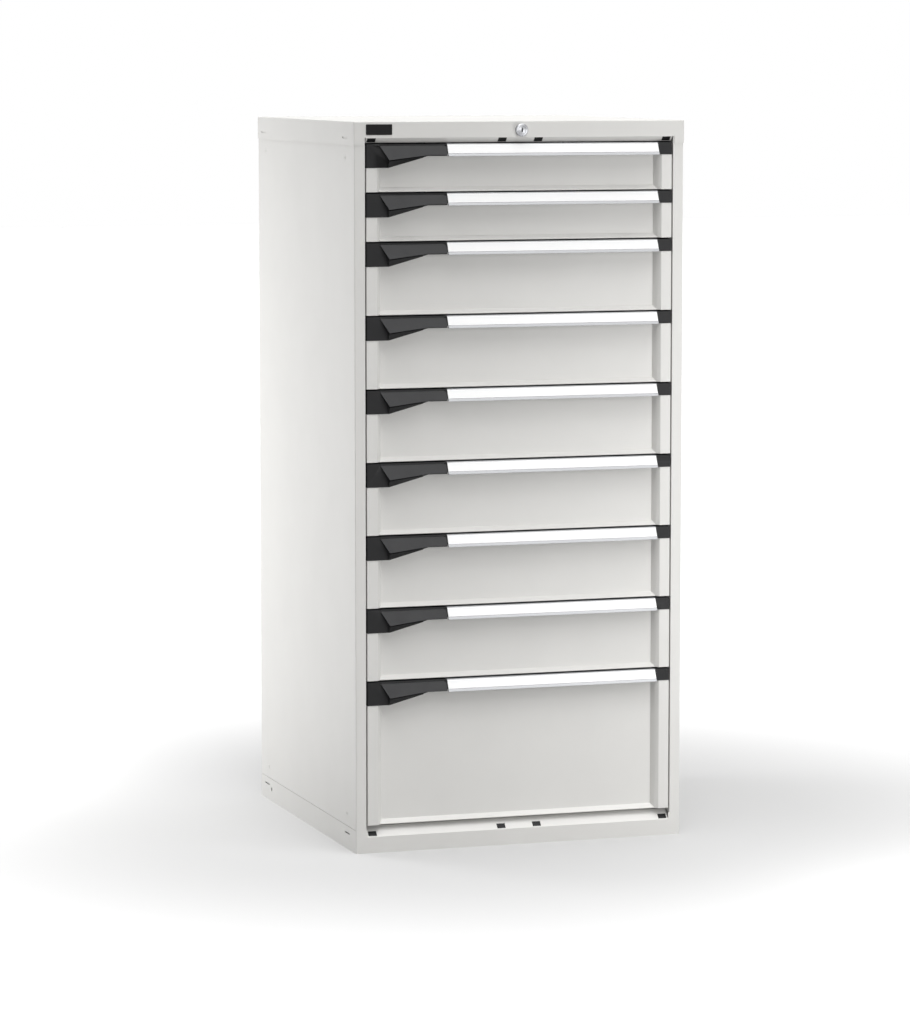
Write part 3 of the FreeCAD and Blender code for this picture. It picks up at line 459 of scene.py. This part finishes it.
def zinc_plate(name, hex_colour):
    """Bright zinc, plated on rolled steel: rolling lines along the sheet, a faint patchy bloom,
    fairly sharp gloss. The real lines are a tenth of a millimetre apart and too fine to show, so
    they are drawn 1.1 mm apart."""
    line_mm, line_length_mm, bloom_mm = 1.1, 40, 16
    material, tree = new_material(name)
    place = add_node(tree, "ShaderNodeTexCoord")
    lines = add_node(tree, "ShaderNodeMapping",
                     {"Scale": (repeats(line_mm), repeats(line_length_mm), repeats(line_mm))},
                     {"Vector": place.outputs["Object"]})
    rolled = add_node(tree, "ShaderNodeTexNoise", {"Scale": 1.0, "Detail": 2.0},
                      {"Vector": lines})
    bloom = add_node(tree, "ShaderNodeTexNoise", {"Scale": repeats(bloom_mm), "Detail": 4.0},
                     {"Vector": place.outputs["Object"]})
    colour = mottled(tree, hex_colour, bloom, darkest=0.86, lightest=1.06)
    rough = add_node(tree, "ShaderNodeMapRange", {"To Min": 0.26, "To Max": 0.46},
                     {"Value": bloom.outputs["Fac"]})
    bump = add_node(tree, "ShaderNodeBump", {"Strength": 0.2, "Distance": 0.00002},
                    {"Height": rolled.outputs["Fac"]})
    shader = add_node(tree, "ShaderNodeBsdfPrincipled", {"Metallic": 1.0},
                      {"Base Color": colour, "Roughness": rough, "Normal": bump})
    add_node(tree, "ShaderNodeOutputMaterial", None, {"Surface": shader})
    return material


runner_zinc = zinc_plate("bright_zinc_plate", "#A3A5A8")
for node in ("uprights", "cabinet_rails"):
    place_piece(node + "_zinc", edges_rounded(node, plated_round_mm), runner_zinc,
                "casing", [node])


# ---------------------------------------------------------------- plugs and guides
# Black mouldings in glass-filled nylon: plugs pressed into the sockets of the lid's and the sill's
# lips, and the guides and the hanger in which the lock's bar and shaft run.
def moulded_nylon(name, hex_colour, roughness):
    """Glass-filled nylon, moulded against a spark-eroded tool: a fine even grain and a slightly
    uneven gloss. The real grain is a tenth of a millimetre and too fine to show, so it is drawn
    at 0.7 mm."""
    grain_mm, flow_mm = 0.7, 40
    material, tree = new_material(name)
    place = add_node(tree, "ShaderNodeTexCoord")
    grain = add_node(tree, "ShaderNodeTexVoronoi", {"Scale": repeats(grain_mm)},
                     {"Vector": place.outputs["Object"]})
    flow = add_node(tree, "ShaderNodeTexNoise", {"Scale": repeats(flow_mm), "Detail": 3.0},
                    {"Vector": place.outputs["Object"]})
    colour = mottled(tree, hex_colour, flow, darkest=0.9, lightest=1.12)
    rough = add_node(tree, "ShaderNodeMapRange",
                     {"To Min": roughness - 0.05, "To Max": roughness + 0.07},
                     {"Value": flow.outputs["Fac"]})
    bump = add_node(tree, "ShaderNodeBump", {"Strength": 0.3, "Distance": 0.00005},
                    {"Height": grain.outputs["Distance"]})
    shader = add_node(tree, "ShaderNodeBsdfPrincipled", {"IOR": 1.53, "Specular IOR Level": 0.2},
                      {"Base Color": colour, "Roughness": rough, "Normal": bump})
    add_node(tree, "ShaderNodeOutputMaterial", None, {"Surface": shader})
    return material


black_nylon = moulded_nylon("black_grained_nylon", "#1A1A1B", roughness=0.46)
for node in ("socket_plugs", "lock_guides"):
    place_piece(node + "_moulded", edges_rounded(node, round_mm=0.3), black_nylon,
                "casing", [node])


# ---------------------------------------------------------------- badge plate
# A small bare plate on the front face of the lid, stamped out of steel with a soft edge and
# enamelled black.
def gloss_enamel(name, hex_colour):
    """Enamel stoved on a small steel plate: smooth and glossy, with a faint ripple every 4 mm."""
    ripple_mm = 4
    material, tree = new_material(name)
    place = add_node(tree, "ShaderNodeTexCoord")
    ripple = add_node(tree, "ShaderNodeTexNoise", {"Scale": repeats(ripple_mm), "Detail": 2.0},
                      {"Vector": place.outputs["Object"]})
    rough = add_node(tree, "ShaderNodeMapRange", {"To Min": 0.12, "To Max": 0.24},
                     {"Value": ripple.outputs["Fac"]})
    bump = add_node(tree, "ShaderNodeBump", {"Strength": 0.08, "Distance": 0.00005},
                    {"Height": ripple.outputs["Fac"]})
    shader = add_node(tree, "ShaderNodeBsdfPrincipled",
                      {"Base Color": linear(hex_colour), "IOR": 1.5, "Specular IOR Level": 0.2},
                      {"Roughness": rough, "Normal": bump})
    add_node(tree, "ShaderNodeOutputMaterial", None, {"Surface": shader})
    return material


badge_enamel = gloss_enamel("black_stoved_enamel", "#101011")
place_piece("badge_plate_enamelled", edges_rounded("badge_plate", round_mm=0.35, steps=3),
            badge_enamel, "casing", ["badge_plate"])


# ---------------------------------------------------------------- lock cylinder
# A cylinder lock in the lid's front, turned from brass and chrome plated: a barrel with its collar
# and nut, and the plug with its keyway that turns in it.
lock_height = 1.4815                                # metres above the floor


def chrome_plate(name, hex_colour):
    """Satin chrome on turned brass: a soft mirror with faint turning rings about the lock's own
    axis. The real rings are too fine to show, so they are drawn 1.6 mm apart."""
    ring_mm = 1.6
    material, tree = new_material(name)
    place = add_node(tree, "ShaderNodeTexCoord")
    centre = add_node(tree, "ShaderNodeMapping", {"Location": (0.0, 0.0, -lock_height)},
                      {"Vector": place.outputs["Object"]})
    flat = add_node(tree, "ShaderNodeVectorMath", {"operation": "MULTIPLY", 1: (1.0, 0.0, 1.0)},
                    {0: centre})
    away = add_node(tree, "ShaderNodeVectorMath", {"operation": "LENGTH"}, {0: flat})
    phase = add_node(tree, "ShaderNodeMath",
                     {"operation": "MULTIPLY", 1: 2 * math.pi * repeats(ring_mm)},
                     {0: away.outputs["Value"]})
    rings = add_node(tree, "ShaderNodeMath", {"operation": "SINE"}, {0: phase})
    rough = add_node(tree, "ShaderNodeMapRange", {"From Min": -1.0, "To Min": 0.14, "To Max": 0.3},
                     {"Value": rings})
    bump = add_node(tree, "ShaderNodeBump", {"Strength": 0.5, "Distance": 0.00012},
                    {"Height": rings})
    shader = add_node(tree, "ShaderNodeBsdfPrincipled",
                      {"Base Color": linear(hex_colour), "Metallic": 1.0},
                      {"Roughness": rough, "Normal": bump})
    add_node(tree, "ShaderNodeOutputMaterial", None, {"Surface": shader})
    return material


lock_chrome = chrome_plate("satin_chrome_on_brass", "#A6A7AA")
place_piece("lock_housing_chromed", edges_rounded("lock_housing", round_mm=0.4), lock_chrome,
            "casing", ["lock_housing"])
place_piece("lock_plug_chromed", edges_rounded("lock_plug", round_mm=0.3), lock_chrome,
            "lock_cylinder", ["lock_plug"])


# ---------------------------------------------------------------- lock shaft and lock bar
# The plug turns a long shaft under the lid, and the crank at its rear end lifts an upright bar
# with a tooth for each drawer. Both are steel with the same bright zinc as the rails.
for node, body in (("lock_bar", "lock_bar"), ("lock_shaft", "lock_cylinder")):
    place_piece(node + "_zinc", edges_rounded(node, plated_round_mm), runner_zinc,
                body, [node])


# ---------------------------------------------------------------- drawer boxes
# Nine drawers, numbered from the top. Each is a pressed steel front on a folded steel tray, with
# a runner channel along each side and a tab for the lock bar, powder coated as the casing is.
drawers = [f"drawer_{number}" for number in range(1, 10)]
drawer_paint = powder_coat("light_grey_powder_coat_drawers", casing_colour)
for drawer in drawers:
    place_piece(drawer + "_box_painted", edges_rounded(drawer + "_box", round_mm=0.3),
                drawer_paint, drawer, [drawer + "_box"])


# ---------------------------------------------------------------- handle bars
# A sloping bar along the top of each front, extruded in aluminium with a groove for a label strip,
# cut to length and anodised. The mouldings at its ends hold it.
def anodised(name, hex_colour):
    """Natural anodised extrusion: die lines along the bar and a soft satin gloss. The real lines
    are too fine to show, so they are drawn 0.7 mm apart."""
    line_mm, line_length_mm = 0.7, 170
    material, tree = new_material(name)
    place = add_node(tree, "ShaderNodeTexCoord")
    lines = add_node(tree, "ShaderNodeMapping",
                     {"Scale": (repeats(line_length_mm), repeats(line_mm), repeats(line_mm))},
                     {"Vector": place.outputs["Object"]})
    die = add_node(tree, "ShaderNodeTexNoise", {"Scale": 1.0, "Detail": 2.0}, {"Vector": lines})
    rough = add_node(tree, "ShaderNodeMapRange", {"To Min": 0.42, "To Max": 0.56},
                     {"Value": die.outputs["Fac"]})
    bump = add_node(tree, "ShaderNodeBump", {"Strength": 0.15, "Distance": 0.00002},
                    {"Height": die.outputs["Fac"]})
    shader = add_node(tree, "ShaderNodeBsdfPrincipled",
                      {"Base Color": linear(hex_colour), "Metallic": 1.0},
                      {"Roughness": rough, "Normal": bump})
    add_node(tree, "ShaderNodeOutputMaterial", None, {"Surface": shader})
    return material


bar_aluminium = anodised("natural_anodised_aluminium", "#999A9C")
for drawer in drawers:
    place_piece(drawer + "_bar", edges_rounded(drawer + "_handle_bar", round_mm=0.25),
                bar_aluminium, drawer, [drawer + "_handle_bar"])


# ---------------------------------------------------------------- label strips
# A strip of white card under clear film, cut a little shorter than the bar and slid into the
# groove of its sloping face.

# All in metres. The bar's face comes forward and falls by the first two. The strip's edges and its
# flat are measured down that face from the bar's top edge, the sunk sizes from the face inwards.
bar_reach, bar_drop = 0.012, 0.025
strip_top, strip_foot = 0.0016, 0.0212
flat_top, flat_foot = 0.0019, 0.0209
flat_sunk, edge_sunk, back_sunk = 0.0001, 0.0002, 0.00078
end_gap = 0.0004


def label_card(name, hex_colour):
    """Card under a clear film: white, with the film's smooth gloss on top of faintly mottled
    fibre. The real fibre is too fine to show, so it is drawn at 1.1 mm."""
    fibre_mm = 1.1
    material, tree = new_material(name)
    place = add_node(tree, "ShaderNodeTexCoord")
    fibre = add_node(tree, "ShaderNodeTexNoise", {"Scale": repeats(fibre_mm), "Detail": 4.0},
                     {"Vector": place.outputs["Object"]})
    colour = mottled(tree, hex_colour, fibre, darkest=0.97, lightest=1.0)
    shader = add_node(tree, "ShaderNodeBsdfPrincipled",
                      {"Roughness": 0.6, "Coat Weight": 0.6, "Coat Roughness": 0.15},
                      {"Base Color": colour})
    add_node(tree, "ShaderNodeOutputMaterial", None, {"Surface": shader})
    return material


def label_strip(bar):
    """A card strip with its clear film, laid in the groove of one handle bar."""
    low, high = corners_of([vertex.co for vertex in nodes[bar].data.vertices])
    slope = math.hypot(bar_reach, bar_drop)
    top = Vector((0, low.y + bar_reach, high.z))
    down = Vector((0, -bar_reach, -bar_drop)) / slope
    inward = Vector((0, bar_drop, -bar_reach)) / slope
    section = [(strip_top, back_sunk), (strip_top, edge_sunk), (flat_top, flat_sunk),
               (flat_foot, flat_sunk), (strip_foot, edge_sunk), (strip_foot, back_sunk)]
    places = [tuple(top + down * run + inward * depth + Vector((x, 0, 0)))
              for x in (low.x + end_gap, high.x - end_gap) for run, depth in section]
    count = len(section)
    ends = [tuple(range(count - 1, -1, -1)), tuple(range(count, 2 * count))]
    sides = [(i, (i + 1) % count, count + (i + 1) % count, count + i) for i in range(count)]
    mesh = bpy.data.meshes.new("label_strip")
    mesh.from_pydata(places, [], ends + sides)
    return mesh


white_card = label_card("white_card_under_film", "#FAFAFA")
for drawer in drawers:
    place_piece(drawer + "_label_strip", label_strip(drawer + "_handle_bar"), white_card,
                drawer)


# ---------------------------------------------------------------- end mouldings
# A grip at the left end of each bar, with a pocket for the thumb pad, and a small cap at its right
# end, moulded in the same black nylon as the plugs.
for drawer in drawers:
    mouldings = edges_rounded(drawer + "_end_caps", round_mm=0.5, steps=3)
    place_piece(drawer + "_end_mouldings", mouldings, black_nylon,
                drawer, [drawer + "_end_caps"])


# ---------------------------------------------------------------- thumb pads
# A charcoal pad of a finer nylon that turns on two pins in the grip's pocket, moulded in one with
# the arm that reaches the latch lug.
pad_nylon = moulded_nylon("charcoal_fine_nylon", "#363637", roughness=0.42)
for drawer in drawers:
    pad = edges_rounded(drawer + "_release_pad", round_mm=0.6, steps=3)
    place_piece(drawer + "_thumb_pad", pad, pad_nylon,
                drawer + "_pad", [drawer + "_release_pad"])


# ---------------------------------------------------------------- carriages
# Two carriages for each drawer, zinc-plated steel strips that carry the rollers between the
# cabinet's rails and the drawer's channels, and travel half as far as the drawer.
roller_depth = 0.03                                 # metres: rollers are shorter, strips longer


def without_rollers(mesh):
    """Leaves only the bodies of a carriage's mesh that are longer from front to back than a
    roller."""
    work = bmesh.new()
    work.from_mesh(mesh)
    short = []
    for body in bodies_in(work):
        low, high = corners_of([vertex.co for vertex in body])
        if high.y - low.y < roller_depth:
            short += body
    bmesh.ops.delete(work, geom=short, context="VERTS")
    work.to_mesh(mesh)
    work.free()
    return mesh


for drawer in drawers:
    carriage = without_rollers(edges_rounded(drawer + "_carriages", plated_round_mm))
    place_piece(drawer + "_carriages_zinc", carriage, runner_zinc,
                drawer + "_carriage", [drawer + "_carriages"])


# ---------------------------------------------------------------- rollers
# Four rollers on each carriage, moulded in grey nylon, each with a broad rim and hub and a
# thinner web between them. They turn on pins that are riveted to the strip.
roller_nylon = moulded_nylon("grey_roller_nylon", "#3A3B3C", roughness=0.5)
# Sizes in metres.
roller_sizes = {"Roller Radius": 0.0142, "Roller Width": 0.009, "Rim Inner Radius": 0.0112,
                "Web Width": 0.0074, "Hub Radius": 0.0064, "Bore Radius": 0.00405,
                "Edge Rounding": 0.0005, "Finish": roller_nylon}
ring_corners, rounding_corners = 48, 2


def ring(tree, outer, inner, width, rounding):
    """Nodes that make a ring with rounded corners about the z axis, from sockets for its sizes."""
    both = add_node(tree, "ShaderNodeMath", {"operation": "ADD"}, {0: outer, 1: inner})
    middle = add_node(tree, "ShaderNodeMath", {"operation": "MULTIPLY", 1: 0.5}, {0: both})
    thick = add_node(tree, "ShaderNodeMath", {"operation": "SUBTRACT"}, {0: outer, 1: inner})
    path = add_node(tree, "GeometryNodeCurvePrimitiveCircle", {"Resolution": ring_corners},
                    {"Radius": middle})
    outline = add_node(tree, "GeometryNodeCurvePrimitiveQuadrilateral", None,
                       {"Width": thick, "Height": width})
    soft = add_node(tree, "GeometryNodeFilletCurve",
                    {"mode": "POLY", "Count": rounding_corners, "Limit Radius": True},
                    {"Curve": outline, "Radius": rounding})
    return add_node(tree, "GeometryNodeCurveToMesh", None, {"Curve": path, "Profile Curve": soft})


def roller_group():
    """Node group: a roller with its rim, web and hub at every place."""
    tree, given, result = new_group("runner_rollers", {
        "Roller Radius": "NodeSocketFloat", "Roller Width": "NodeSocketFloat",
        "Rim Inner Radius": "NodeSocketFloat", "Web Width": "NodeSocketFloat",
        "Hub Radius": "NodeSocketFloat", "Bore Radius": "NodeSocketFloat",
        "Edge Rounding": "NodeSocketFloat", "Finish": "NodeSocketMaterial"})
    rings = [("Roller Radius", "Rim Inner Radius", "Roller Width"),
             ("Rim Inner Radius", "Hub Radius", "Web Width"),
             ("Hub Radius", "Bore Radius", "Roller Width")]
    parts = [ring(tree, given[outer], given[inner], given[width], given["Edge Rounding"])
             for outer, inner, width in rings]
    whole = add_node(tree, "GeometryNodeJoinGeometry")
    for part in parts:
        tree.links.new(part.outputs[0], whole.inputs[0])
    set_at_places(tree, given, result, whole)
    return tree


rollers = roller_group()
for drawer in drawers:
    wheels = [(low + high) / 2 for low, high in body_boxes(drawer + "_carriages")
              if high.y - low.y < roller_depth]
    across = [(1, 0, 0)] * len(wheels)
    wheel_mesh = grown(drawer + "_rollers", rollers, wheels, across, roller_sizes)
    place_piece(drawer + "_rollers", wheel_mesh, roller_nylon,
                drawer + "_carriage", [drawer + "_carriages"])
